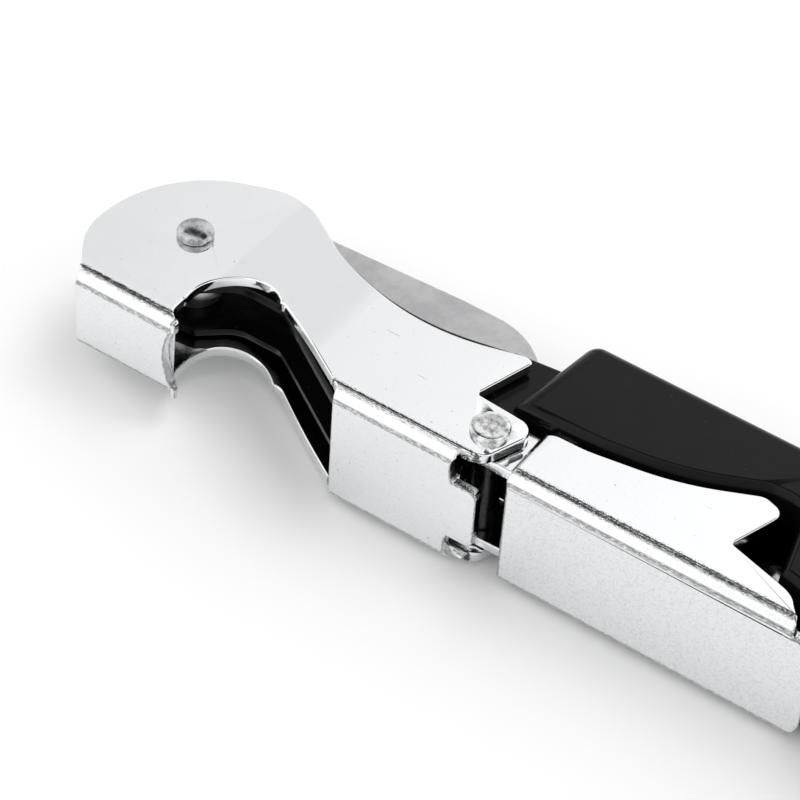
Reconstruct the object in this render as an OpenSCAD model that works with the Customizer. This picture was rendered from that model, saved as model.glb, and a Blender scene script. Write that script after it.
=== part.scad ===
// Waiter's corkscrew with a lever in two hinged stages, closed and lying on its side.
// Millimetres. X runs along the handle to its far end, Y towards the handle's back, Z up.
// Plan sizes are measured from the lever rivet's axis, and home then moves every piece so that
// the origin is under the middle of the whole tool; Z = 0 is what the tool lies on.

/* [Overall] */

// distance from the lever rivet to the handle's far end
handle_reach = 112; // [108:1:125]
// X of the head's round end
head_x = -9.5; // [-10:0.1:-8.8]
// width across the outside of the two lever plates
lever_w = 14.6; // [14.4:0.1:18]
// how far the handle's cheeks and the flat rivet heads stand above the lever plates
proud = 0.7; // [0.5:0.05:1.1]
// Y of the handle's straight back
back_y = 9.6; // [7:0.1:11]

/* [First stage of the lever] */

// sheet thickness of both lever stages
sheet = 1.2; // [0.9:0.05:1.25]
// outside radius of the folds along the lever
fold_r = 1.6; // [1.4:0.05:2]
// how far the head's plates are pressed in from the lever's full width, each side
head_inset = 2.3; // [1.9:0.05:2.4]
// Y of the outside of the first stage's web
web_y = -11.2; // [-12:0.1:-10.8]
// radius of the round part of the crown-cap mouth
mouth_r = 4.75; // [4.2:0.05:5.2]
// centre of the round part of the crown-cap mouth, X
mouth_x = 9.2; // [8.8:0.1:9.6]
// centre of the round part of the crown-cap mouth, Y
mouth_y = -6.3; // [-6.8:0.1:-6]
// how far the mouth sits further forward in the lower plate than in the upper
mouth_shift = 0.7; // [0:0.1:0.9]
// half height of the tab at the web's hinge end
tab_half = 3.6; // [2:0.1:4]
// X of the tab's end
tab_x = 41; // [40:0.1:41.2]

/* [Second stage of the lever] */

// X of the lever rivet
lever_x = -0.15; // [-0.4:0.05:0.2]
// Y of the lever rivet
lever_y = 0.45; // [0.2:0.05:0.6]
// X of the hinge rivet between the stages
hinge_x = 39.1; // [38.9:0.05:39.3]
// Y of the hinge rivet between the stages
hinge_y = -6.3; // [-6.5:0.05:-6.1]
// Y of the outside of the second stage's web
web2_y = -10.4; // [-11:0.1:-10]
// radius of the hidden ear round the hinge rivet
ear_r = 3.5; // [3:0.1:3.6]
// side gap between an ear and the plate it lies against
side_gap = 0.15; // [0.05:0.05:0.3]

/* [Handle] */

// sheet thickness of the handle
handle_sheet = 1.2; // [0.8:0.05:1.4]
// side gap between the handle's neck and the head's plates
neck_gap = 0.3; // [0.2:0.05:0.6]
// side gap between the handle's waist and the lever's plates
waist_gap = 0.4; // [0.2:0.05:0.6]
// X of the shoulder where the handle's full width begins
shoulder_x = 38.9; // [38.6:0.1:40]

/* [Worm] */

// X of the worm's pin
worm_x = 49; // [48:0.1:52]
// Y of the worm's pin
worm_y = -4.6; // [-5:0.1:-4]
// radius of the worm's pin
worm_pin_r = 1.5; // [1.1:0.05:1.8]
// radius of the worm's wire
wire_r = 1.35; // [1:0.05:1.4]
// radius of the coil's centre line
coil_r = 2.75; // [2:0.05:2.8]
// length of the worm from its pin to its point
worm_len = 56; // [45:1:58]
// advance of the worm in one turn
worm_pitch = 9.4; // [8:0.1:12]
// angle between the folded worm and the handle
worm_tilt = 3; // [2:0.5:5]
// radius of the knuckle round the worm's pin
knuckle_r = 2.9; // [2.4:0.1:3]

/* [Foil blade] */

// thickness of the foil blade
blade_t = 1.2; // [0.8:0.05:1.6]
// radius of the washers beside the blade
washer_r = 2.7; // [2.4:0.1:3.4]
// how far the blade's back stands off the lever rivet
blade_back = 13; // [12:0.1:13.5]

/* [Rivets and fits] */

// radius of the lever rivet's shank
rivet1_r = 1.5; // [1.2:0.05:1.9]
// radius of the lever rivet's button heads
dome_r = 1.9; // [1.9:0.05:2.2]
// height of the lever rivet's button heads
dome_h = 1.2; // [0.8:0.05:1.6]
// radius of the hinge rivet's shank
rivet2_r = 1.5; // [1.2:0.05:1.8]
// radius of the hinge rivet's flat heads
flat_r = 1.95; // [1.8:0.05:2.3]
// radial clearance of a turning fit
run_gap = 0.05; // [0.02:0.01:0.09]
// radial clearance of a fixed fit
fixed_gap = 0.01; // [0.01:0.005:0.02]

/* [Hidden] */

$fn = 64;
e = 0.01;
half = lever_w/2;
mid_z = half + proud;
home = [-(head_x + handle_reach)/2, -(web_y + blade_back)/2, 0];
mid = home + [0, 0, mid_z];
head_half = half - head_inset;
neck_half = head_half - sheet - neck_gap;
waist_half = half - sheet - waist_gap;
cheek_half = half + proud;
neck_sheet = 1;
ear_half = half - sheet - side_gap;
web_in = web_y + sheet;
web2_in = web2_y + sheet;
worm_ang = worm_tilt;
steel = [0.80, 0.81, 0.83];
blackc = [0.05, 0.05, 0.055];
bladec = [0.62, 0.62, 0.63];

// ---- outlines with a radius at each corner: a vertex is [x, y, radius] ----
function unit2(v) = v/norm(v);
function cornerPts(p, q, s, n) =
    let (r = q[2], a = unit2([p[0] - q[0], p[1] - q[1]]), b = unit2([s[0] - q[0], s[1] - q[1]]),
         h = acos(max(-1, min(1, a*b)))/2)
    r < 0.02 || h > 89 ? [[q[0], q[1]]] :
    let (c = [q[0], q[1]] + unit2(a + b)*r/sin(h),
         u = [q[0], q[1]] + a*r/tan(h) - c, v = [q[0], q[1]] + b*r/tan(h) - c,
         w = acos(max(-1, min(1, unit2(u)*unit2(v)))),
         m = max(2, ceil(n*w/90), ceil(r*w*PI/180/0.9)))
    [for (i = [0:m]) let (t = i/m) c + (w < 0.01 ? u : (u*sin((1 - t)*w) + v*sin(t*w))/sin(w))];
function rounded(v, n = 8) =
    [for (i = [0:len(v) - 1])
        each cornerPts(v[(i + len(v) - 1) % len(v)], v[i], v[(i + 1) % len(v)], n)];

module plan(v, n = 8) { translate([0, 0, -40]) linear_extrude(80) polygon(rounded(v, n)); }

// a slab about the mid plane with its two front edges rounded: fold along X
module fold_bar(x0, x1, y_front, h, r) {
    translate([x0, 0, 0]) rotate([90, 0, 90]) linear_extrude(x1 - x0) union() {
        translate([y_front + r, -h]) square([60, 2*h]);
        translate([y_front, -h + r]) square([r + e, 2*h - 2*r]);
        translate([y_front + r, -h + r]) circle(r);
        translate([y_front + r, h - r]) circle(r);
    }
}

// width of the first stage along its length, as a solid: head, flare, full width
flare_x = [5.5, 20.5];
flare = [for (i = [0:16]) let (t = i/16)
    [flare_x[0] + (flare_x[1] - flare_x[0])*t, 0.5*t*t*(3 - 2*t) + 0.5*pow(sin(90*t), 1.1)]];
module first_width(h0, h1) {
    side = [for (f = flare) [f[0], h0 + (h1 - h0)*f[1]]];
    m = len(side);
    rotate([90, 0, 0]) translate([0, 0, -60]) linear_extrude(120)
        polygon(concat([[-30, h0]], side, [[60, h1], [60, -h1]],
                       [for (i = [m - 1:-1:0]) [side[i][0], -side[i][1]]], [[-30, -h0]]));
}
module second_width(h0, h1) {
    rotate([90, 0, 0]) translate([0, 0, -60]) linear_extrude(120)
        polygon([[30, -h0], [42.95, -h0], [43.7, -h1], [90, -h1], [90, h1], [43.7, h1],
                 [42.95, h0], [30, h0]]);
}

first_outline = [[head_x, 6.4, 13.5], [5.1, 12.1, 7], [21.7, -0.4, 23.5], [36.6, 4.1, 1.3],
                 [37.45, 3.6, 0.5], [35.45, -3.0, 0.35], [42.0, -3.4, 1.6], [42.25, -5.3, 1.2],
                 [40.6, -9.6, 1.6], [38.2, -10.0, 0.5], [38.2, web_y, 0], [24.6, web_y, 0],
                 [24.3, -10.1, 0.5], [12.7, -3.0, 1.5], [mouth_x, mouth_y - 0.6, 0],
                 [4.45, mouth_y - 0.8, 0.5], [4.5, -9.6, 1.6], [6.1, -10.4, 0.4], [6.1, web_y, 0],
                 [-6.15, web_y, 0], [-6.1, -10.4, 0.6], [head_x, -5.8, 8.5]];
second_outline = [[43.2, -3.1, 1.5], [47.6, -3.0, 12], [56.6, -1.45, 30], [63.8, 2.0, 1.4],
                  [66.4, 1.2, 1.2], [64.3, -4.95, 0.3], [71.6, -6.9, 3], [73.4, -9.0, 1.2],
                  [73.9, web2_y, 0.4], [43.5, web2_y, 0.6], [43.2, -9.3, 0.4]];

// ---- the lever's first stage: cap lifter head, mouth, web and hinge ears ----
module lever_first_stage() {
    color(steel) translate(mid) difference() {
        intersection() {
            difference() {
                intersection() {
                    first_width(head_half, half);
                    union() {
                        fold_bar(-12, 5.5, web_y, head_half, fold_r);
                        translate([5.5 - e, web_y, -half]) cube([15.1, 60, 2*half]);
                        fold_bar(20.5, 60, web_y, half, fold_r);
                    }
                }
                intersection() {
                    first_width(head_half - sheet, half - sheet);
                    union() {
                        fold_bar(-13, 5.5, web_in, head_half - sheet, fold_r - sheet);
                        translate([5.5 - 2*e, web_in, -half]) cube([15.1, 60, 2*half]);
                        fold_bar(20.5, 61, web_in, half - sheet, fold_r - sheet);
                    }
                }
            }
            union() {
                plan(first_outline);
                translate([0, web_y + sheet, 0]) rotate([90, 0, 0]) linear_extrude(sheet + 1)
                    polygon(rounded([[36, -tab_half, 0], [tab_x, -tab_half, 0.8],
                                     [tab_x, tab_half, 0.8], [36, tab_half, 0]]));
            }
        }
        // the round part of the mouth, then the space up to the far web
        translate([mouth_x, mouth_y, 0]) cylinder(r = mouth_r, h = half + 2);
        translate([mouth_x, mouth_y - mouth_shift, -half - 2]) cylinder(r = mouth_r, h = half + 2);
        // the mouth's wall is hollowed between the claw tips, one at each fold
        translate([0, web_y, 0]) rotate([90, 0, 0]) translate([0, 0, -3]) linear_extrude(6)
            polygon(rounded([[5.4, -3.7, 0.8], [4.3, 0, 7], [5.4, 3.7, 0.8], [9, 3.7, 0], [9, -3.7, 0]]));
        // round reliefs between the web's tab and the folds
        for (s = [-1, 1]) translate([0, web_in + 0.2, 0]) rotate([90, 0, 0]) linear_extrude(4)
            polygon(rounded([[37.9, s*tab_half, 0.9], [37.9, s*(half - 0.2), 1.4],
                             [44, s*(half - 0.2), 0], [44, s*tab_half, 0]]));
        for (s = [-1, 1]) {
            translate([lever_x, lever_y, s*head_half - 3]) cylinder(r = rivet1_r + run_gap, h = 6);
            translate([hinge_x, hinge_y, s*half - 3]) cylinder(r = rivet2_r + fixed_gap, h = 6);
        }
    }
}

// ---- the lever's second stage: its ears lie inside the first stage's plates ----
module lever_second_stage() {
    color(steel) translate(mid) difference() {
        intersection() {
            difference() {
                intersection() {
                    second_width(ear_half, half);
                    fold_bar(30, 90, web2_y, half, 1.5);
                }
                intersection() {
                    second_width(ear_half - sheet, half - sheet);
                    fold_bar(29, 91, web2_in, half - sheet, 0.4);
                }
            }
            union() {
                plan(second_outline);
                // the web's end stands past the upper fold as a round-cornered tongue
                translate([72, web2_y + 1.6, 0]) rotate([90, 0, 0]) linear_extrude(5)
                    polygon(rounded([[0, -half, 0], [4.1, -half, 3], [4.1, 5.7, 2.4], [0, 6, 0]]));
                // the ears and the plate that joins them to the stage
                translate([hinge_x, hinge_y, -20]) cylinder(r = ear_r, h = 40);
                translate([hinge_x, hinge_y - 2.4, -20]) cube([43.6 - hinge_x, 5.6, 40]);
            }
        }
        for (s = [-1, 1]) translate([hinge_x, hinge_y, s*half - 4])
            cylinder(r = rivet2_r + run_gap, h = 8);
        // no web in front of the ears
        translate([30, web2_y - 2, -20]) cube([13.45, 2 + sheet + 0.6, 40]);
    }
}

// ---- rivets ----
module lever_rivet() {
    lift = head_half + 0.02;
    // a button head: [share of the head's radius, share of its height], seat to crown
    head = [[0.8, 0], [0.95, 0.18], [1, 0.38], [0.985, 0.58],
            [0.91, 0.76], [0.76, 0.88], [0.5, 0.96], [0, 1]];
    m = len(head);
    color(steel) translate(mid + [lever_x, lever_y, 0]) rotate_extrude()
        polygon(concat(
            [for (i = [m - 1:-1:0]) [dome_r*head[i][0], -lift - dome_h*head[i][1]]],
            [[rivet1_r, -lift], [rivet1_r, lift]],
            [for (i = [0:m - 1]) [dome_r*head[i][0], lift + dome_h*head[i][1]]]));
}
module stage_rivet() {
    color(steel) translate(home + [hinge_x, hinge_y, 0]) rotate_extrude()
        polygon([[0, 0], [flat_r - 0.25, 0], [flat_r, 0.2], [flat_r, proud], [rivet2_r, proud],
                 [rivet2_r, 2*mid_z - proud], [flat_r, 2*mid_z - proud], [flat_r, 2*mid_z - 0.2],
                 [flat_r - 0.25, 2*mid_z], [0, 2*mid_z]]);
}

// ---- the handle: neck cheeks, waist inside the lever, full-width grip ----
neck_outline = [[-5.2, 5.2, 5], [9.5, 9, 3], [22.7, 5.0, 26], [33, 7.2, 1.2], [38, 5.9, 0], [44, 5.9, 0],
                [44, -2.4, 0], [34.6, -2.4, 0.8], [33.6, -8.9, 0.8], [23.5, -8.9, 1.2],
                [13.1, -2.2, 2.2], [mouth_x + 2.4, mouth_y + mouth_r + 0.2, 2],
                [mouth_x - 2.6, mouth_y + mouth_r + 0.2, 3.5], [3.3, -4.2, 0.6], [-5.2, -5.2, 5]];
waist_outline = [[34.0, 5.4, 0.8], [42, 6.3, 0], [61, 6.3, 0], [61, -7.6, 1.5],
                 [45.4, -7.6, 1.5], [45.4, -2.4, 0.8], [34.0, -2.4, 0.6]];
grip_outline = [[shoulder_x + 1.6, back_y, 1.8], [70, back_y, 90], [handle_reach - 14, 8.2, 60],
                [handle_reach, 5.8, 5.5], [handle_reach, -10.6, 4.5], [handle_reach - 13, -8.4, 22],
                [76.9, -9.0, 2], [73.9, -6.8, 3], [69.6, -5.75, 0.6], [67.5, 2.6, 2.2],
                [63.8, 2.5, 3], [56.6, -0.95, 30], [48.2, -2.2, 12], [shoulder_x, -2.4, 0.4]];
// the grip's hollow: the same outline one sheet further in, open at the front past the lever
function grip_hollow(t) = [[shoulder_x + 1.7 + t, back_y - t, 1], [70, back_y - t, 88],
    [handle_reach - 14, 8.2 - t, 58], [handle_reach - t, 5.8 - t, 4.3], [handle_reach - t, -20, 0],
    [77.1 + t, -20, 0], [77.1 + t, -9.5, 1], [73.9 + t, -6.8 + t, 2], [69.6 + t, -5.75 + t, 0.6],
    [67.6 + t, 2.6 + t, 2.2], [63.5, 2.5 + t, 3], [56.3, -0.95 + t, 30], [48, -2.2 + t, 12],
    [shoulder_x + 0.1 + t, -2.4 + t, 0.4]];

module layer(v, h, n = 8) { translate([0, 0, -h]) linear_extrude(2*h) polygon(rounded(v, n)); }

module handle_shell() {
    well = cheek_half - handle_sheet;
    color(blackc) translate(mid) difference() {
        union() {
            layer(neck_outline, neck_half);
            layer(waist_outline, waist_half);
            layer(grip_outline, cheek_half);
        }
        // the slot between the neck's cheeks, open at the back for the blade
        translate([-10, -20, -neck_half + neck_sheet]) cube([46.6, 40, 2*neck_half - 2*neck_sheet]);
        // the waist's channel, open at the front, closed by the neck's back wall
        translate([36.5, -20, -waist_half + neck_sheet])
            cube([44, 20 + 4.1, 2*waist_half - 2*neck_sheet]);
        layer(grip_hollow(handle_sheet), well);
        // bores for the lever rivet and the worm's pin
        translate([lever_x, lever_y, -10]) cylinder(r = rivet1_r + fixed_gap, h = 20);
        translate([worm_x, worm_y, -10]) cylinder(r = worm_pin_r + fixed_gap, h = 20);
    }
}

// ---- the foil blade and its two washers on the lever rivet ----
blade_outline = [[-4.2, 4.9, 3.6], [3.0, 5.6, 3], [7.2, blade_back - 0.85, 2.2], [23.5, blade_back, 12],
                 [32.3, blade_back, 9], [36.8, 7.2, 1], [33.5, 5.3, 3], [27, 4.0, 8],
                 [3.6, 3.2, 2.6], [3.4, -2.7, 3], [-3.7, -2.7, 3]];
module foil_blade() {
    color(bladec) translate(mid - [0, 0, blade_t/2]) difference() {
        linear_extrude(blade_t) polygon(rounded(blade_outline, 10));
        translate([lever_x, lever_y, -1]) cylinder(r = rivet1_r + run_gap, h = blade_t + 2);
    }
}
module washer_at(z0, z1) {
    color(steel) translate(home + [lever_x, lever_y, z0]) difference() {
        cylinder(r = washer_r, h = z1 - z0);
        translate([0, 0, -1]) cylinder(r = rivet1_r + fixed_gap, h = z1 - z0 + 2);
    }
}
module blade_washer_upper() {
    washer_at(mid_z + blade_t/2 + 0.05, mid_z + neck_half - neck_sheet - 0.02);
}
module blade_washer_lower() {
    washer_at(mid_z - neck_half + neck_sheet + 0.02, mid_z - blade_t/2 - 0.05);
}

// ---- the worm: a pointed wire coil, its knuckle and its pin ----
function smooth(t) = let (c = max(0, min(1, t))) c*c*(3 - 2*c);
coil_start = 8;
coil_ramp = 6;
function coil_angle(s) = s < coil_start ? 0 : 360*(s - coil_start)/worm_pitch;
function wormC(s) = let (r = coil_r*smooth((s - coil_start)/coil_ramp), a = coil_angle(s))
    [s, r*cos(a), r*sin(a)];
function wormT(s) = let (v = wormC(s + 0.02) - wormC(s - 0.02)) v/norm(v);
function wireR(s) = s < worm_len - 9 ? wire_r : max(0.12, wire_r*pow((worm_len - s)/9, 0.75));
function wormRing(s, k) =
    let (t = wormT(s), a = coil_angle(s), n0 = [0, cos(a), sin(a)], n1 = n0 - (n0*t)*t,
         n = n1/norm(n1), b = cross(t, n), c = wormC(s), r = wireR(s))
    [for (j = [0:k - 1]) c + r*(cos(360*j/k)*n + sin(360*j/k)*b)];

module worm_screw() {
    k = 12;
    s0 = knuckle_r + 0.5;
    steps = 132;
    // even steps along the shank, then along the coil
    ss = [for (i = [0:steps]) i < 6 ? s0 + (coil_start - s0)*i/6
          : coil_start + (worm_len - coil_start)*(i - 6)/(steps - 6)];
    pts = [for (s = ss) each wormRing(s, k)];
    m = len(ss);
    faces = concat(
        [[for (j = [0:k - 1]) j]],
        [for (i = [0:m - 2], j = [0:k - 1]) let (a = i*k + j, b = i*k + (j + 1) % k)
            [a, a + k, b]],
        [for (i = [0:m - 2], j = [0:k - 1]) let (b = i*k + (j + 1) % k, a = i*k + j)
            [b, a + k, b + k]],
        [[for (j = [k - 1:-1:0]) (m - 1)*k + j]]);
    color(steel) translate(mid + [worm_x, worm_y, 0]) rotate([0, 0, worm_ang])
        polyhedron(points = pts, faces = faces, convexity = 10);
}
module worm_knuckle() {
    w = 2*waist_half - 2*neck_sheet - 0.2;
    color(steel) translate(mid + [worm_x, worm_y, 0]) rotate([0, 0, worm_ang]) difference() {
        union() {
            translate([0, 0, -w/2]) cylinder(r = knuckle_r, h = w);
            translate([knuckle_r - 1.2, 0, 0]) rotate([0, 90, 0]) cylinder(r = 2.4, h = 4);
        }
        translate([0, 0, -w]) cylinder(r = worm_pin_r + run_gap, h = 2*w);
        translate([knuckle_r + 0.5 - 0.02, 0, 0]) rotate([0, 90, 0])
            cylinder(r = wire_r + fixed_gap, h = 10);
    }
}
module worm_pin() {
    color(steel) translate(mid + [worm_x, worm_y, -waist_half - 0.1])
        cylinder(r = worm_pin_r, h = 2*waist_half + 0.2);
}

handle_shell();
lever_first_stage();
lever_second_stage();
lever_rivet();
stage_rivet();
worm_screw();
worm_knuckle();
worm_pin();
foil_blade();
blade_washer_upper();
blade_washer_lower();
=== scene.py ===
import bpy
import bmesh
import math
from mathutils import Vector, Matrix


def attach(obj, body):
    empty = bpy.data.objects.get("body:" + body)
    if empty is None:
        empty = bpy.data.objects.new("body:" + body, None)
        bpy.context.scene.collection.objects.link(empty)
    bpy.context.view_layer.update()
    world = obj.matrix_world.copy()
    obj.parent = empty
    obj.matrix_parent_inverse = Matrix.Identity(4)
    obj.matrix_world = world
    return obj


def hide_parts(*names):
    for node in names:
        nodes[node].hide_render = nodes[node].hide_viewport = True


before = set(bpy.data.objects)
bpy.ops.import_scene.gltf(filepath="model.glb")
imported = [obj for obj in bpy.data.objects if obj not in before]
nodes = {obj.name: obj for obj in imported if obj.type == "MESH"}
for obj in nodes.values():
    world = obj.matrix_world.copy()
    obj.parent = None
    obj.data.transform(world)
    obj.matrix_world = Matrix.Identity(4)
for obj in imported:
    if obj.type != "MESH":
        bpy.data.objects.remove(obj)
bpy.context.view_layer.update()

mm = 0.001

# camera: looks down on the closed tool from its front right
camLook = {
    "elevation": 45.0, "azimuth": 31.5, "roll": 4.2,
    "lens": 144.0, "place": (0.08924, -0.18906, 0.22641),
}
el, az, roll = (math.radians(camLook[k]) for k in ("elevation", "azimuth", "roll"))
back = Vector((math.sin(az)*math.cos(el), -math.cos(az)*math.cos(el), math.sin(el)))
right = Vector((math.cos(az), math.sin(az), 0))
up = back.cross(right)
camRight = math.cos(roll)*right + math.sin(roll)*up
camUp = back.cross(camRight)
camData = bpy.data.cameras.new("camera")
camData.lens = camLook["lens"]
camData.sensor_width = 36
camData.clip_start = 0.01
camera = bpy.data.objects.new("camera", camData)
turn = Matrix((camRight, camUp, back)).transposed().to_4x4()
camera.matrix_world = Matrix.Translation(camLook["place"]) @ turn
bpy.context.scene.collection.objects.link(camera)
bpy.context.scene.camera = camera
print("camera set")


# small helpers

def linear(hexColour):
    # sRGB hex to the linear colour that shaders use
    parts = [int(hexColour[i:i + 2], 16)/255 for i in (1, 3, 5)]
    return tuple(c/12.92 if c <= 0.04045 else ((c + 0.055)/1.055)**2.4 for c in parts) + (1,)


def addNode(tree, kind, settings=None, links=None):
    # one node: settings are its options, links give each socket a value or another socket
    node = tree.nodes.new(kind)
    for key, value in (settings or {}).items():
        setattr(node, key, value)
    for key, value in (links or {}).items():
        if isinstance(value, bpy.types.NodeSocket):
            tree.links.new(value, node.inputs[key])
        else:
            node.inputs[key].default_value = value
    return node


def newMaterial(name):
    material = bpy.data.materials.new(name)
    material.use_nodes = True
    material.node_tree.nodes.clear()
    return material, material.node_tree


def objectPoint(tree, scale=(1, 1, 1), turned=(0, 0, 0), centre=(0, 0, 0)):
    spot = addNode(tree, "ShaderNodeTexCoord")
    return addNode(tree, "ShaderNodeMapping", {"vector_type": "POINT"},
                   {"Vector": spot.outputs["Object"], "Scale": scale, "Rotation": turned,
                    "Location": centre}).outputs["Vector"]


def closeShader(tree, shader):
    out = addNode(tree, "ShaderNodeOutputMaterial")
    tree.links.new(shader.outputs["BSDF"], out.inputs["Surface"])


def ramp(tree, value, low, high, toLow=0.0, toHigh=1.0, smooth=True):
    return addNode(tree, "ShaderNodeMapRange",
                   {"interpolation_type": "SMOOTHSTEP" if smooth else "LINEAR"},
                   {0: value, 1: low, 2: high, 3: toLow, 4: toHigh}).outputs[0]


def maths(tree, kind, a, b=0.0):
    return addNode(tree, "ShaderNodeMath", {"operation": kind}, {0: a, 1: b}).outputs[0]


def band(tree, value, rise, full, ebb, gone):
    # 1 between full and ebb, fading to 0 at rise and at gone
    return maths(tree, "MULTIPLY", ramp(tree, value, rise, full), ramp(tree, value, gone, ebb))


def mixed(tree, factor, a, b):
    return addNode(tree, "ShaderNodeMix", {"data_type": "RGBA"}, {0: factor, 6: a, 7: b}).outputs[2]


# materials

def chromePlate(foldY, grainShare):
    # decorative chrome over nickel on stamped steel: near-white mirror, faint orange peel from the
    # plating, stretch marks where the sheet was folded, a few hairline scratches and dull specks, and
    # painted reflection: dark lines along the fold for the dark surroundings it mirrors;
    # foldY is where the plate turns into the fold, and the three painted bands are measured from it
    look = {
        # the fourth colour is the dark of the painted reflection along the fold
        "colour": "#EEEFF0", "haze": "#C4C5C7", "pit": "#A2A3A5", "foldReflectionDark": "#29292B",
        "rough": 0.05, "cloud": 5*mm, "peel": 0.55*mm, "stretch": 0.2*mm, "speck": 0.33*mm,
        "grain": 0.19*mm, "scratch": 0.2*mm, "scratches": ((0.5, 0.81), (-0.7, 0.82), (2.2, 0.82)),
        "wander": 0.17*mm, "startLine": (0.02, -0.04, -0.14, -0.22),
        "greyBand": (-0.28, -0.4, -0.65, -0.85), "endLine": (-1.38, -1.44, -1.55, -1.59),
    }
    material, tree = newMaterial("chromePlatedSteel")
    spot = objectPoint(tree)
    parts = addNode(tree, "ShaderNodeSeparateXYZ", None, {0: spot}).outputs
    # 1 on the folds and webs, 0 on the flat plates
    front = ramp(tree, parts[1], foldY + 0.55*mm, foldY + 0.1*mm)
    web = ramp(tree, parts[1], foldY - 1.3*mm, foldY - 1.6*mm)
    peel = addNode(tree, "ShaderNodeTexNoise", None,
                   {"Vector": spot, "Scale": 1/look["peel"], "Detail": 3.0, "Roughness": 0.5})
    stretch = addNode(tree, "ShaderNodeTexNoise", None,
                      {"Vector": objectPoint(tree, (0.75, 0.55, 0.55)), "Scale": 1/look["stretch"],
                       "Detail": 3.0, "Roughness": 0.65})
    speck = addNode(tree, "ShaderNodeTexNoise", None,
                    {"Vector": spot, "Scale": 1/look["speck"], "Detail": 2.0})
    specks = ramp(tree, speck.outputs[0], ramp(tree, web, 0, 1, 0.73, 0.66), 0.80)
    scratches = []
    for angle, cut in look["scratches"]:
        line = addNode(tree, "ShaderNodeTexNoise", None,
                       {"Vector": objectPoint(tree, (0.03, 1, 1), (0, 0, angle)),
                        "Scale": 1/look["scratch"], "Detail": 1.0})
        scratches.append(ramp(tree, line.outputs[0], cut, cut + 0.03))
    scratch = maths(tree, "MAXIMUM", maths(tree, "MAXIMUM", scratches[0], scratches[1]), scratches[2])
    cloud = addNode(tree, "ShaderNodeTexNoise", None,
                    {"Vector": spot, "Scale": 1/look["cloud"], "Detail": 4.0})
    rough = ramp(tree, cloud.outputs[0], 0.3, 0.75, look["rough"], look["rough"] + 0.07)
    rough = maths(tree, "ADD", rough,
                  maths(tree, "ADD", maths(tree, "MULTIPLY", specks, 0.2),
                        maths(tree, "MULTIPLY", scratch, 0.15)))
    colour = mixed(tree, maths(tree, "MAXIMUM", maths(tree, "MULTIPLY", scratch, 0.5), specks),
                   linear(look["colour"]), linear(look["haze"]))
    grain = addNode(tree, "ShaderNodeTexNoise", None,
                    {"Vector": spot, "Scale": 1/look["grain"], "Detail": 2.0, "Roughness": 0.6})
    grains = maths(tree, "MULTIPLY", ramp(tree, grain.outputs[0], 0.44, 0.70, 0.0, grainShare), web)
    colour = mixed(tree, grains, colour, linear(look["pit"]))
    # painted reflection: dark lines are painted where the sheet turns into the fold and again where it
    # leaves it, for the dark surroundings that the fold mirrors there
    wander = addNode(tree, "ShaderNodeTexNoise", None,
                     {"Vector": objectPoint(tree, (0.35, 1, 1)), "Scale": 1/look["wander"],
                      "Detail": 3.0, "Roughness": 0.7}).outputs[0]
    fromFold = maths(tree, "SUBTRACT", parts[1], foldY)
    sway = maths(tree, "SUBTRACT", wander, 0.5)
    ragged = maths(tree, "ADD", fromFold, maths(tree, "MULTIPLY", sway, 0.5*mm))
    fine = maths(tree, "ADD", fromFold, maths(tree, "MULTIPLY", sway, 0.1*mm))
    startLine = band(tree, ragged, *(y*mm for y in look["startLine"]))
    greyBand = band(tree, ragged, *(y*mm for y in look["greyBand"]))
    greyBand = maths(tree, "MULTIPLY", greyBand, ramp(tree, wander, 0.42, 0.62, 0.0, 0.36))
    endLine = band(tree, fine, *(y*mm for y in look["endLine"]))
    endLine = maths(tree, "MULTIPLY", endLine, ramp(tree, wander, 0.36, 0.56, 0.1, 0.6))
    paintedFoldReflection = maths(tree, "MAXIMUM", maths(tree, "MAXIMUM", maths(tree, "MULTIPLY", startLine, 0.92),
                                          greyBand), endLine)
    colour = mixed(tree, paintedFoldReflection, colour, linear(look["foldReflectionDark"]))
    rough = maths(tree, "ADD", rough, maths(tree, "MULTIPLY", paintedFoldReflection, 0.2))
    peelHeight = maths(tree, "MULTIPLY", peel.outputs[0], ramp(tree, web, 0, 1, 0.22, 1.0))
    bumpOne = addNode(tree, "ShaderNodeBump", None,
                      {"Strength": 0.7, "Distance": 0.035*mm, "Height": peelHeight})
    fold = maths(tree, "MULTIPLY", front, ramp(tree, web, 0, 1, 1.0, 0.16))
    bumpTwo = addNode(tree, "ShaderNodeBump", None,
                      {"Strength": 1.0, "Distance": 0.05*mm,
                       "Height": maths(tree, "MULTIPLY", stretch.outputs[0], fold),
                       "Normal": bumpOne.outputs[0]})
    bumpThree = addNode(tree, "ShaderNodeBump", {"invert": True},
                        {"Strength": 0.3, "Distance": 0.01*mm,
                         "Height": maths(tree, "MAXIMUM", scratch, specks), "Normal": bumpTwo.outputs[0]})
    closeShader(tree, addNode(tree, "ShaderNodeBsdfPrincipled", None,
                              {"Base Color": colour, "Metallic": 1.0, "Roughness": rough,
                               "Normal": bumpThree.outputs[0]}))
    return material


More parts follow.
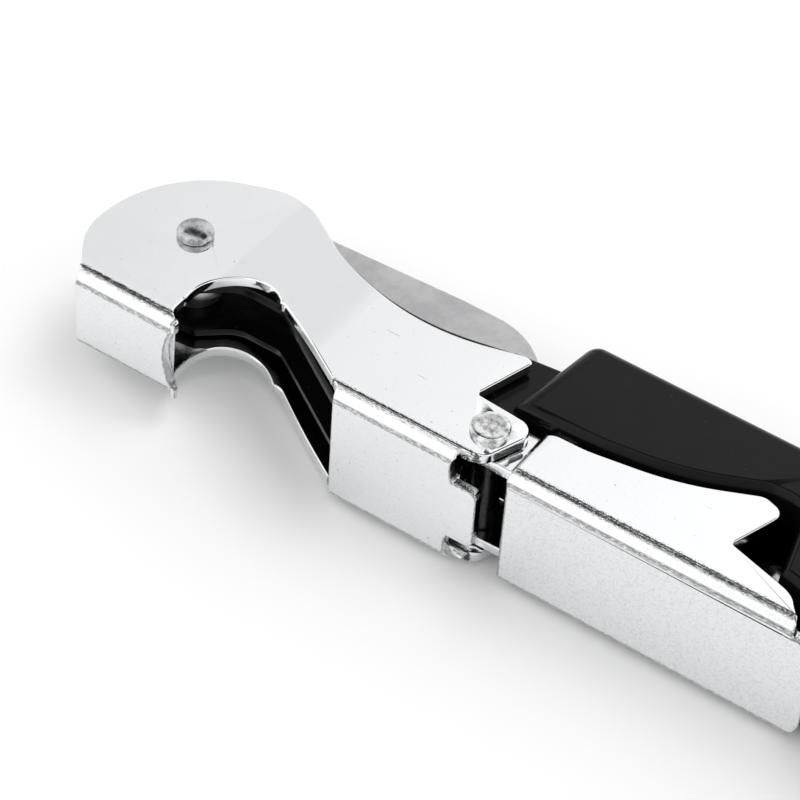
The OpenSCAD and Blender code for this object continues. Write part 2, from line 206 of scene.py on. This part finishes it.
def blackEnamel():
    # gloss black stoving enamel sprayed on sheet steel: deep black, soft-edged reflections, a very
    # shallow orange peel, dust nibs and light handling scuffs
    look = {"colour": "#0B0B0C", "scuff": "#1B1B1C", "rough": 0.16, "peel": 0.7*mm, "nib": 0.48*mm}
    material, tree = newMaterial("blackEnamelledSteel")
    spot = objectPoint(tree)
    peel = addNode(tree, "ShaderNodeTexNoise", None,
                   {"Vector": spot, "Scale": 1/look["peel"], "Detail": 2.5, "Roughness": 0.5})
    cloud = addNode(tree, "ShaderNodeTexNoise", None,
                    {"Vector": spot, "Scale": 1/(4*mm), "Detail": 4.0, "Roughness": 0.6})
    nib = addNode(tree, "ShaderNodeTexNoise", None,
                  {"Vector": spot, "Scale": 1/look["nib"], "Detail": 0.0})
    nibs = ramp(tree, nib.outputs[0], 0.81, 0.84)
    scuff = addNode(tree, "ShaderNodeTexNoise", None,
                    {"Vector": objectPoint(tree, (0.05, 1, 1), (0, 0, 0.35)), "Scale": 1/(0.25*mm),
                     "Detail": 1.5})
    scuffs = ramp(tree, scuff.outputs[0], 0.76, 0.80)
    rough = maths(tree, "ADD", ramp(tree, cloud.outputs[0], 0.3, 0.7, look["rough"], look["rough"] + 0.07),
                  maths(tree, "MULTIPLY", scuffs, 0.15))
    colour = mixed(tree, maths(tree, "MAXIMUM", nibs, maths(tree, "MULTIPLY", scuffs, 0.4)),
                   linear(look["colour"]), linear(look["scuff"]))
    bumpOne = addNode(tree, "ShaderNodeBump", None,
                      {"Strength": 0.16, "Distance": 0.03*mm, "Height": peel.outputs[0]})
    bumpTwo = addNode(tree, "ShaderNodeBump", None,
                      {"Strength": 0.5, "Distance": 0.02*mm, "Height": nibs, "Normal": bumpOne.outputs[0]})
    closeShader(tree, addNode(tree, "ShaderNodeBsdfPrincipled", None,
                              {"Base Color": colour, "Metallic": 0.0, "Roughness": rough, "IOR": 1.5,
                               "Specular IOR Level": 0.17, "Normal": bumpTwo.outputs[0]}))
    return material


def groundSteel(name, colour, dark, rough):
    # hardened stainless strip, ground and tumbled: grey, cloudy, with fine grinding lines
    material, tree = newMaterial(name)
    spot = objectPoint(tree)
    cloud = addNode(tree, "ShaderNodeTexNoise", None,
                    {"Vector": spot, "Scale": 1/(1.6*mm), "Detail": 6.0, "Roughness": 0.62})
    broad = addNode(tree, "ShaderNodeTexNoise", None, {"Vector": spot, "Scale": 1/(7*mm), "Detail": 2.0})
    lines = addNode(tree, "ShaderNodeTexNoise", None,
                    {"Vector": objectPoint(tree, (1, 0.05, 1)), "Scale": 1/(0.16*mm),
                     "Detail": 2.0})
    blend = maths(tree, "ADD", maths(tree, "MULTIPLY", cloud.outputs[0], 0.6),
                  maths(tree, "MULTIPLY", broad.outputs[0], 0.4))
    shade = mixed(tree, ramp(tree, blend, 0.36, 0.62), linear(dark), linear(colour))
    roughness = maths(tree, "ADD", ramp(tree, cloud.outputs[0], 0.3, 0.7, rough, rough + 0.14),
                      maths(tree, "MULTIPLY", lines.outputs[0], 0.08))
    bumpOne = addNode(tree, "ShaderNodeBump", None,
                      {"Strength": 0.16, "Distance": 0.01*mm, "Height": lines.outputs[0]})
    bumpTwo = addNode(tree, "ShaderNodeBump", None,
                      {"Strength": 0.2, "Distance": 0.03*mm, "Height": cloud.outputs[0],
                       "Normal": bumpOne.outputs[0]})
    closeShader(tree, addNode(tree, "ShaderNodeBsdfPrincipled", None,
                              {"Base Color": shade, "Metallic": 1.0, "Roughness": roughness,
                               "Normal": bumpTwo.outputs[0]}))
    return material


def turnedSteel(name, colour, dark, rough, centre, ring=0.12*mm):
    # bright rivet and pin steel, cold headed and plated: shallow rings about its own axis
    material, tree = newMaterial(name)
    spot = objectPoint(tree, centre=tuple(-c for c in centre))
    flat = addNode(tree, "ShaderNodeVectorMath", {"operation": "MULTIPLY"}, {0: spot, 1: (1, 1, 0)})
    reach = addNode(tree, "ShaderNodeVectorMath", {"operation": "LENGTH"}, {0: flat.outputs[0]})
    rings = addNode(tree, "ShaderNodeMath", {"operation": "SINE"},
                    {0: maths(tree, "MULTIPLY", reach.outputs[1], 2*math.pi/ring)})
    cloud = addNode(tree, "ShaderNodeTexNoise", None,
                    {"Vector": spot, "Scale": 1/(0.8*mm), "Detail": 5.0, "Roughness": 0.6})
    shade = mixed(tree, ramp(tree, cloud.outputs[0], 0.34, 0.6), linear(dark), linear(colour))
    bumpOne = addNode(tree, "ShaderNodeBump", None,
                      {"Strength": 0.06, "Distance": 0.004*mm, "Height": rings.outputs[0]})
    bumpTwo = addNode(tree, "ShaderNodeBump", None,
                      {"Strength": 0.22, "Distance": 0.02*mm, "Height": cloud.outputs[0],
                       "Normal": bumpOne.outputs[0]})
    closeShader(tree, addNode(tree, "ShaderNodeBsdfPrincipled", None,
                              {"Base Color": shade, "Metallic": 1.0,
                               "Roughness": ramp(tree, cloud.outputs[0], 0.3, 0.7, rough, rough + 0.12),
                               "Normal": bumpTwo.outputs[0]}))
    return material


# shapes in plan: a corner is (x, y, radius) in millimetres, and home moves the plan onto the frame
home = Vector((-51.25, -0.9, 8.0))


def loopOf(corners, inset=0.0, steps=8):
    # the outline moved inwards, with the same number of points whatever the inset is; a corner's
    # fourth value is the share of the inset that the side after it takes
    n = len(corners)
    area = sum(corners[i][0]*corners[(i + 1) % n][1] - corners[(i + 1) % n][0]*corners[i][1]
               for i in range(n))
    side = 1 if area > 0 else -1
    moved = []
    for i in range(n):
        p, q, s = (Vector(corners[j % n][:2]) for j in (i - 1, i, i + 1))
        a, b = (q - p).normalized(), (s - q).normalized()
        na, nb = Vector((-a.y, a.x))*side, Vector((-b.y, b.x))*side
        turnSize = a.x*b.y - a.y*b.x
        inA, inB = (inset*(corners[j][3] if len(corners[j]) > 3 else 1) for j in (i - 1, i))
        if abs(turnSize) > 1e-3:
            # where the two moved sides meet
            shift = (b*inA - a*inB)*(side/turnSize)
        else:
            shift = na*inA
        moved.append((q + shift, turnSize*side > 0, max(inA, inB)))
    loop = []
    for i in range(n):
        q, convex, most = moved[i]
        r = corners[i][2]
        r = max(r - most, 0.0) if convex else r + (most if r > 0 else 0)
        a, b = (moved[i - 1][0] - q).normalized(), (moved[(i + 1) % n][0] - q).normalized()
        half = math.acos(max(-1, min(1, a.dot(b))))/2
        if r < 0.01 or half > 1.55:
            loop += [q.copy() for k in range(steps + 1)]
            continue
        centre = q + (a + b).normalized()*r/math.sin(half)
        u, v = q + a*r/math.tan(half) - centre, q + b*r/math.tan(half) - centre
        w = math.acos(max(-1, min(1, u.dot(v)/u.length/v.length)))
        for k in range(steps + 1):
            t = k/steps
            loop.append(centre + (u*math.sin((1 - t)*w) + v*math.sin(t*w))/math.sin(w))
    return loop


def meshObject(name, made):
    bmesh.ops.remove_doubles(made, verts=made.verts, dist=2e-7)
    bmesh.ops.dissolve_degenerate(made, edges=made.edges, dist=1e-7)
    bmesh.ops.recalc_face_normals(made, faces=made.faces)
    mesh = bpy.data.meshes.new(name)
    made.to_mesh(mesh)
    made.free()
    piece = bpy.data.objects.new(name, mesh)
    bpy.context.scene.collection.objects.link(piece)
    return piece


def stacked(name, rings):
    # closed solid through rings of equal count, each (loop, z) in millimetres about the mid plane
    made = bmesh.new()
    rows = [[made.verts.new((Vector((p.x, p.y, z)) + home)*mm) for p in loop] for loop, z in rings]
    count = len(rows[0])
    for low, high in zip(rows, rows[1:]):
        for i in range(count):
            j = (i + 1) % count
            made.faces.new((low[i], low[j], high[j], high[i]))
    made.faces.new(rows[0][::-1])
    made.faces.new(rows[-1])
    return meshObject(name, made)


def layer(name, corners, half, edge=0.0, steps=6, corner=8, tall=None):
    # a slab with its rim rounded above and below, edge wide and tall high
    rings = []
    for k in range(steps + 1):
        angle = math.pi/2*k/steps
        rings.append((loopOf(corners, edge*(1 - math.sin(angle)), corner),
                      -half + (tall or edge)*(1 - math.cos(angle))))
    if edge == 0:
        rings = [(loopOf(corners, 0, corner), -half)]
    rings += [(loop, -z) for loop, z in reversed(rings)]
    return stacked(name, rings)


def block(name, low, size):
    x, y, z = low
    corners = [(x, y, 0), (x + size[0], y, 0), (x + size[0], y + size[1], 0), (x, y + size[1], 0)]
    return stacked(name, [(loopOf(corners, 0, 1), z), (loopOf(corners, 0, 1), z + size[2])])


def post(name, x, y, r, low, high, count=64):
    ring = [Vector((x + r*math.cos(2*math.pi*k/count), y + r*math.sin(2*math.pi*k/count)))
            for k in range(count)]
    return stacked(name, [(ring, low), (ring, high)])


def settled(piece):
    # takes the piece's modifiers into its mesh
    graph = bpy.context.evaluated_depsgraph_get()
    mesh = bpy.data.meshes.new_from_object(piece.evaluated_get(graph), depsgraph=graph)
    old = piece.data
    piece.modifiers.clear()
    piece.data = mesh
    if old.users == 0:
        bpy.data.meshes.remove(old)
    return piece


def carve(base, tool, how="DIFFERENCE"):
    cut = base.modifiers.new("cut", "BOOLEAN")
    cut.operation = how
    cut.solver = "EXACT"
    cut.object = tool
    settled(base)
    bpy.data.objects.remove(tool)
    return base


def softened(piece, width, angle=35, segments=2, tidy=0.05):
    # small rounds on the sharp edges, then smooth shading that keeps the flats flat
    made = bmesh.new()
    made.from_mesh(piece.data)
    low, high = ([pick(v.co[i] for v in made.verts) for i in range(3)] for pick in (min, max))
    bmesh.ops.remove_doubles(made, verts=made.verts, dist=1e-6)
    bmesh.ops.dissolve_limit(made, angle_limit=math.radians(tidy), verts=made.verts, edges=made.edges)
    made.to_mesh(piece.data)
    made.free()
    if width:
        rim = piece.modifiers.new("rim", "BEVEL")
        rim.width = width
        rim.segments = segments
        rim.limit_method = "ANGLE"
        rim.angle_limit = math.radians(angle)
        rim.use_clamp_overlap = False
        settled(piece)
    made = bmesh.new()
    made.from_mesh(piece.data)
    for v in made.verts:
        # a round in a tight corner never leaves the piece's own box
        v.co = [min(max(v.co[i], low[i]), high[i]) for i in range(3)]
    bmesh.ops.dissolve_degenerate(made, edges=made.edges, dist=2e-6)
    bmesh.ops.triangulate(made, faces=[f for f in made.faces if len(f.verts) > 4])
    made.to_mesh(piece.data)
    made.free()
    piece.data.shade_smooth()
    piece.data.set_sharp_from_angle(angle=math.radians(angle + 10))
    weigh = piece.modifiers.new("weigh", "WEIGHTED_NORMAL")
    weigh.keep_sharp = True
    weigh.weight = 100
    return settled(piece)


def copyOf(node, name):
    piece = bpy.data.objects.new(name, nodes[node].data.copy())
    bpy.context.scene.collection.objects.link(piece)
    made = bmesh.new()
    made.from_mesh(piece.data)
    bmesh.ops.remove_doubles(made, verts=made.verts, dist=1e-6)
    made.to_mesh(piece.data)
    made.free()
    return piece


def finishWith(piece, material, body, *replaced):
    piece.data.materials.clear()
    piece.data.materials.append(material)
    if replaced:
        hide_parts(*replaced)
    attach(piece, body)


chromeFirst = chromePlate(-10.5*mm, 0.12)
chromeSecond = chromePlate(-9.7*mm, 0.26)
chromeSecond.name = "chromePlatedSteelSecond"
enamel = blackEnamel()
bladeSteel = groundSteel("groundStainlessSteel", "#DBDBDC", "#C3C3C5", 0.30)
washerSteel = groundSteel("zincPlatedWasher", "#A9ACB0", "#83868A", 0.28)
print("materials made")

# handle: a channel of sheet steel, narrow in the lever's head, full width over the grip
handleSize = {
    "sheet": 1.2, "neckSheet": 1.0, "neckHalf": 3.5, "waistHalf": 5.7, "cheekHalf": 8.0,
    "edge": 1.9, "tall": 1.9, "shoulder": 38.9, "reach": 112.0, "backY": 9.6,
    "slot": (-10, 36.6), "channel": (36.5, 80.5), "channelBack": 4.1, "past": 20,
    "mouth": (9.2, -6.3, 4.75), "rivet": (-0.15, 0.45, 1.51), "pin": (49.0, -4.6, 1.51),
}


def buildHandle():
    s = handleSize
    mx, my, mr = s["mouth"]
    t, sx, hr, by = s["sheet"], s["shoulder"], s["reach"], s["backY"]
    neck = [(-5.2, 5.2, 5), (9.5, 9, 3), (22.7, 5, 26), (33, 7.2, 1.2), (38, 5.9, 0), (44, 5.9, 0),
            (44, -2.4, 0), (34.6, -2.4, 0.8), (33.6, -8.9, 0.8), (23.5, -8.9, 1.2), (13.1, -2.2, 2.2),
            (mx + 2.4, my + mr + 0.2, 2), (mx - 2.6, my + mr + 0.2, 3.5), (3.3, -4.2, 0.6), (-5.2, -5.2, 5)]
    waist = [(34.0, 5.4, 0.8), (42, 6.3, 0), (61, 6.3, 0), (61, -7.6, 1.5),
             (45.4, -7.6, 1.5), (45.4, -2.4, 0.8), (34.0, -2.4, 0.6)]
    # the fourth value sets how wide the round is on the side that follows
    grip = [(sx + 1.6, by, 1.8, 0.8), (70, by, 90, 0.8), (hr - 14, 8.2, 60, 0.8), (hr, 5.8, 5.5, 0.8),
            (hr, -10.6, 4.5, 0.8), (hr - 13, -8.4, 22, 0.8), (76.9, -9.0, 2, 0.6), (73.9, -6.8, 3, 0.45),
            (69.6, -5.75, 0.6, 0.45), (67.5, 2.6, 2.2, 0.45), (63.8, 2.5, 3, 0.45),
            (56.6, -0.95, 30, 0.45), (48.2, -2.2, 12, 0.45), (sx, -2.4, 0.4, 1.0)]
    hollow = [(sx + 1.7 + t, by - t, 1), (70, by - t, 88), (hr - 14, 8.2 - t, 58), (hr - t, 5.8 - t, 4.3),
              (hr - t, -20, 0), (77.1 + t, -20, 0), (77.1 + t, -9.5, 1), (73.9 + t, -6.8 + t, 2),
              (69.6 + t, -5.75 + t, 0.6), (67.6 + t, 2.6 + t, 2.2), (63.5, 2.5 + t, 3),
              (56.3, -0.95 + t, 30), (48, -2.2 + t, 12), (sx + 0.1 + t, -2.4 + t, 0.4)]
    shell = layer("handle", grip, s["cheekHalf"], s["edge"], 8, 12, s["tall"])
    carve(shell, layer("waist", waist, s["waistHalf"], 0.5, 4), "UNION")
    carve(shell, layer("neck", neck, s["neckHalf"], 0.4, 4, 14), "UNION")
    inNeck = s["neckHalf"] - s["neckSheet"]
    inWaist = s["waistHalf"] - s["neckSheet"]
    past = s["past"]  # cutters stand this far past the sheet
    low, high = s["slot"]
    carve(shell, block("slot", (low, -past, -inNeck), (high - low, 2*past, 2*inNeck)))
    low, high = s["channel"]
    carve(shell, block("channel", (low, -past, -inWaist),
                       (high - low, past + s["channelBack"], 2*inWaist)))
    carve(shell, layer("hollow", hollow, s["cheekHalf"] - t, 0.5, 3))
    for x, y, r in (s["rivet"], s["pin"]):
        carve(shell, post("bore", x, y, r, -past, past))
    return softened(shell, 0, 30)


handle = buildHandle()
finishWith(handle, enamel, "handle", "handle_shell")
print("handle built")

# lever stages: stamped and folded sheet, its cut edges broken by a small round
edgeRound = {"stage": 0.2*mm, "blade": 0.12*mm, "small": 0.15*mm, "washer": 0.08*mm}
firstStage = softened(copyOf("lever_first_stage", "leverFirstStage"), edgeRound["stage"], 35, 3)
finishWith(firstStage, chromeFirst, "first_stage", "lever_first_stage")
secondStage = softened(copyOf("lever_second_stage", "leverSecondStage"), edgeRound["stage"], 35, 3)
finishWith(secondStage, chromeSecond, "second_stage", "lever_second_stage")
print("lever stages built")

foilBlade = softened(copyOf("foil_blade", "foilBlade"), edgeRound["blade"])
finishWith(foilBlade, bladeSteel, "blade", "foil_blade")


def turned(name, axis, profile, count=72):
    # a profile of (radius, height) in millimetres, spun about an upright axis
    made = bmesh.new()
    x, y = axis
    rows = []
    for r, z in profile:
        if r < 1e-6:
            rows.append([made.verts.new((Vector((x, y, z)) + home)*mm)])
        else:
            rows.append([made.verts.new((Vector((x + r*math.cos(2*math.pi*k/count),
                                                 y + r*math.sin(2*math.pi*k/count), z)) + home)*mm)
                         for k in range(count)])
    for low, high in zip(rows, rows[1:]):
        for k in range(count):
            j = (k + 1) % count
            ring = [low[k % len(low)], low[j % len(low)], high[j % len(high)], high[k % len(high)]]
            ring = [v for i, v in enumerate(ring) if v not in ring[:i]]
            if len(ring) > 2:
                made.faces.new(ring)
    return meshObject(name, made)


leverRivetSize = {"axis": handleSize["rivet"][:2], "shank": 1.5, "head": 1.9, "rise": 1.2, "seat": 5.02}


def buildLeverRivet():
    # button heads: tucked in at the seat, rounded at the rim, nearly flat on the crown
    s = leverRivetSize
    shape = [(0.8, 0), (0.9, 0.05), (0.965, 0.14), (1, 0.27), (0.995, 0.4), (0.955, 0.54), (0.88, 0.67),
             (0.76, 0.79), (0.6, 0.88), (0.42, 0.94), (0.2, 0.975), (0, 0.985)]
    top = [(s["head"]*r, s["seat"] + s["rise"]*z) for r, z in shape]
    profile = [(r, -z) for r, z in top[::-1]] + [(s["shank"], -s["seat"]), (s["shank"], s["seat"])]
    return turned("leverRivet", s["axis"], profile + top)


def smoothed(piece, angle=35):
    piece.data.shade_smooth()
    piece.data.set_sharp_from_angle(angle=math.radians(angle))
    return piece


leverRivet = smoothed(buildLeverRivet())
rivetAt = (home + Vector((*leverRivetSize["axis"], 0)))*mm
finishWith(leverRivet, turnedSteel("platedRivetSteel", "#C2C3C5", "#8F9092", 0.15, rivetAt),
           "handle", "lever_rivet")

# the last size is how far each way from the mid plane the shank is painted dark as shade
hingeRivetSize = {"axis": (39.1, -6.3), "shank": 1.5, "head": 1.95, "under": 7.3, "top": 8.0,
                  "shadedShank": 7.2}


def buildHingeRivet():
    # flat heads, a little dished where they were pressed
    s = hingeRivetSize
    r, z = s["head"], s["top"]
    top = [(0, z - 0.05), (r*0.45, z - 0.045), (r*0.72, z - 0.01), (r - 0.32, z), (r - 0.14, z - 0.04),
           (r - 0.04, z - 0.15), (r, z - 0.32), (r, s["under"])]
    profile = [(a, -b) for a, b in top] + [(s["shank"], -s["under"]), (s["shank"], s["under"])]
    return turned("hingeRivet", s["axis"], profile + top[::-1])


hingeRivet = smoothed(buildHingeRivet())
rivetAt = (home + Vector((*hingeRivetSize["axis"], 0)))*mm
finishWith(hingeRivet, turnedSteel("headedRivetSteel", "#F6F6F7", "#8A8B8D", 0.2, rivetAt, 0.2*mm),
           "first_stage", "stage_rivet")
# painted shade: the shank between the plates is coloured dark for the shade there and the dark inside that
# it reflects
hingeRivet.data.materials.append(groundSteel("shadedShankSteel", "#434345", "#38383A", 0.2))
for face in hingeRivet.data.polygons:
    if abs(face.center.z - home.z*mm) < hingeRivetSize["shadedShank"]*mm:
        face.material_index = 1

wormPin = softened(copyOf("worm_pin", "wormPin"), edgeRound["small"])
pinAt = (home + Vector((*handleSize["pin"][:2], 0)))*mm
finishWith(wormPin, turnedSteel("pinSteel", "#C9CBCD", "#A0A2A4", 0.18, pinAt), "handle", "worm_pin")
wormKnuckle = softened(copyOf("worm_knuckle", "wormKnuckle"), edgeRound["small"])
finishWith(wormKnuckle, turnedSteel("knuckleSteel", "#C2C4C7", "#A0A2A4", 0.2, pinAt),
           "worm", "worm_knuckle")
for node in ("blade_washer_upper", "blade_washer_lower"):
    washer = softened(copyOf(node, "washer" + node[-5:].capitalize()), edgeRound["washer"])
    finishWith(washer, washerSteel, "handle", node)
print("small parts built")

# worm: one wire that runs straight out of the knuckle, then coils and tapers to a point
wormSize = {
    "Length": 56*mm, "Start": 3.4*mm, "Straight": 8*mm, "Ramp": 6*mm, "Pitch": 9.4*mm,
    "Coil Radius": 2.75*mm, "Wire Radius": 1.35*mm, "Taper": 9*mm, "Point": 0.14*mm,
}
wormSeat = {"axis": handleSize["pin"][:2], "tilt": 3.0, "points": 420, "sides": 24}


def wormTree(material):
    tree = bpy.data.node_groups.new("coiledWorm", "GeometryNodeTree")
    tree.interface.new_socket("Geometry", in_out="INPUT", socket_type="NodeSocketGeometry")
    tree.interface.new_socket("Geometry", in_out="OUTPUT", socket_type="NodeSocketGeometry")
    for key in wormSize:
        tree.interface.new_socket(key, in_out="INPUT", socket_type="NodeSocketFloat")
    size = addNode(tree, "NodeGroupInput").outputs
    line = addNode(tree, "GeometryNodeCurvePrimitiveLine", None, {"Start": (0, 0, 0), "End": (1, 0, 0)})
    many = addNode(tree, "GeometryNodeResampleCurve", None,
                   {"Curve": line.outputs[0], "Count": wormSeat["points"]})
    along = addNode(tree, "GeometryNodeSplineParameter").outputs["Factor"]
    place = addNode(tree, "ShaderNodeMapRange", None,
                    {0: along, 3: size["Start"], 4: size["Length"]}).outputs[0]
    run = maths(tree, "SUBTRACT", place, size["Straight"])
    ease = addNode(tree, "ShaderNodeMapRange", {"interpolation_type": "SMOOTHSTEP"},
                   {0: run, 1: 0.0, 2: size["Ramp"], 3: 0.0, 4: size["Coil Radius"]}).outputs[0]
    angle = maths(tree, "MULTIPLY", maths(tree, "DIVIDE", maths(tree, "MAXIMUM", run, 0.0), size["Pitch"]),
                  2*math.pi)
    spot = addNode(tree, "ShaderNodeCombineXYZ", None,
                   {"X": place, "Y": maths(tree, "MULTIPLY", ease, maths(tree, "COSINE", angle)),
                    "Z": maths(tree, "MULTIPLY", ease, maths(tree, "SINE", angle))})
    bent = addNode(tree, "GeometryNodeSetPosition", None,
                   {"Geometry": many.outputs[0], "Position": spot.outputs[0]})
    left = maths(tree, "DIVIDE", maths(tree, "SUBTRACT", size["Length"], place), size["Taper"])
    thin = maths(tree, "POWER", maths(tree, "MINIMUM", maths(tree, "MAXIMUM", left, 0.0), 1.0), 0.75)
    thick = maths(tree, "MAXIMUM", maths(tree, "MULTIPLY", thin, size["Wire Radius"]), size["Point"])
    rim = addNode(tree, "GeometryNodeCurvePrimitiveCircle", None,
                  {"Resolution": wormSeat["sides"], "Radius": 1.0})
    skin = addNode(tree, "GeometryNodeCurveToMesh", None,
                   {"Curve": bent.outputs[0], "Profile Curve": rim.outputs[0], "Scale": thick,
                    "Fill Caps": True})
    x, y = wormSeat["axis"]
    seat = addNode(tree, "GeometryNodeTransform", None,
                   {"Geometry": skin.outputs[0], "Translation": (home + Vector((x, y, 0)))*mm,
                    "Rotation": (0, 0, math.radians(wormSeat["tilt"]))})
    soft = addNode(tree, "GeometryNodeSetShadeSmooth", None, {"Geometry": seat.outputs[0]})
    real = addNode(tree, "GeometryNodeRealizeInstances", None, {"Geometry": soft.outputs[0]})
    done = addNode(tree, "GeometryNodeSetMaterial", None,
                   {"Geometry": real.outputs[0], "Material": material})
    addNode(tree, "NodeGroupOutput", None, {"Geometry": done.outputs[0]})
    return tree


def buildWorm(material):
    piece = bpy.data.objects.new("worm", bpy.data.meshes.new("worm"))
    bpy.context.scene.collection.objects.link(piece)
    grow = piece.modifiers.new("coil", "NODES")
    grow.node_group = wormTree(material)
    for item in grow.node_group.interface.items_tree:
        if item.in_out == "INPUT" and item.name in wormSize:
            grow[item.identifier] = wormSize[item.name]
    settled(piece)
    made = bmesh.new()
    made.from_mesh(piece.data)
    bmesh.ops.recalc_face_normals(made, faces=made.faces)
    made.to_mesh(piece.data)
    made.free()
    return piece


wormWire = groundSteel("drawnWireSteel", "#D0D2D5", "#B2B4B7", 0.14)
worm = buildWorm(wormWire)
finishWith(worm, wormWire, "worm", "worm_screw")
print("worm built:", len(worm.data.polygons), "faces")

# floor and studio light
studio = {
    "floor": "#F8F8F8", "dome": 1.27, "black": 0.02,
    "key": 2.0, "keySize": 0.4, "keyAt": (0.16, 0.26, 0.75),
    "sideX": (-0.52, -0.20, 0.69, 0.95), "sideY": (0.30, 0.50),
    "nearX": (-0.25, 0.1), "nearY": (-0.1, -0.5), "nearLevel": 0.6,
    "footZ": (-0.02, 0.02, 0.08, 0.16), "footDark": 0.2,
    "gapHalf": (-0.25, 0.0, 0.0, 0.35), "gapFull": (0.0, 0.16, 0.0, 0.65),
    "gapEnd": (0.50, 0.565, 1.0, 0.0), "gapZ": (0.62, 0.74), "gapDark": 0.97,
}


def buildFloor():
    made = bmesh.new()
    bmesh.ops.create_grid(made, x_segments=1, y_segments=1, size=3.0)
    piece = meshObject("floor", made)
    piece.location.z = -0.00002
    material, tree = newMaterial("paperSweep")
    closeShader(tree, addNode(tree, "ShaderNodeBsdfPrincipled", None,
                              {"Base Color": linear(studio["floor"]), "Roughness": 0.9,
                               "Specular IOR Level": 0.1}))
    piece.data.materials.append(material)


def buildDome():
    # a white dome that falls off to one side, with a grey band at its foot and a dark gap between
    # its panels; the limits are parts of a direction of length 1
    world = bpy.data.worlds.new("studio")
    bpy.context.scene.world = world
    world.use_nodes = True
    tree = world.node_tree
    tree.nodes.clear()
    ray = addNode(tree, "ShaderNodeTexCoord").outputs["Generated"]
    x, y, z = addNode(tree, "ShaderNodeSeparateXYZ", None, {0: ray}).outputs
    side = ramp(tree, x, *studio["sideX"])
    side = mixed(tree, ramp(tree, y, *studio["sideY"]), (1, 1, 1, 1), side)
    # the near right quarter is darker, so the floor is shaded in front of the tool
    near = maths(tree, "MULTIPLY", ramp(tree, y, *studio["nearY"]), ramp(tree, x, *studio["nearX"]))
    side = mixed(tree, near, side, (studio["nearLevel"],)*3 + (1,))
    foot = maths(tree, "MULTIPLY", band(tree, z, *studio["footZ"]), studio["footDark"])
    gap = maths(tree, "ADD", ramp(tree, y, *studio["gapHalf"]), ramp(tree, y, *studio["gapFull"]))
    gap = maths(tree, "MULTIPLY", gap, ramp(tree, y, *studio["gapEnd"]))
    gap = maths(tree, "MULTIPLY", gap, ramp(tree, z, *studio["gapZ"]))
    dark = maths(tree, "MAXIMUM", foot, maths(tree, "MULTIPLY", gap, studio["gapDark"]))
    level = ramp(tree, dark, 0.0, 1.0, studio["dome"], studio["black"], False)
    level = maths(tree, "MULTIPLY", side, level)
    shade = addNode(tree, "ShaderNodeBackground", None, {"Color": (1, 1, 1, 1), "Strength": level})
    out = addNode(tree, "ShaderNodeOutputWorld")
    tree.links.new(shade.outputs[0], out.inputs["Surface"])


def buildKey():
    data = bpy.data.lights.new("softbox", "AREA")
    data.shape = "SQUARE"
    data.size = studio["keySize"]
    data.energy = studio["key"]
    lamp = bpy.data.objects.new("softbox", data)
    at = Vector(studio["keyAt"])
    lamp.location = at
    lamp.rotation_euler = (-at).to_track_quat("-Z", "Y").to_euler()
    lamp.visible_glossy = False
    bpy.context.scene.collection.objects.link(lamp)


buildFloor()
buildDome()
buildKey()
bpy.context.scene.view_settings.view_transform = "Standard"
bpy.context.scene.view_settings.look = "None"
print("studio lit")
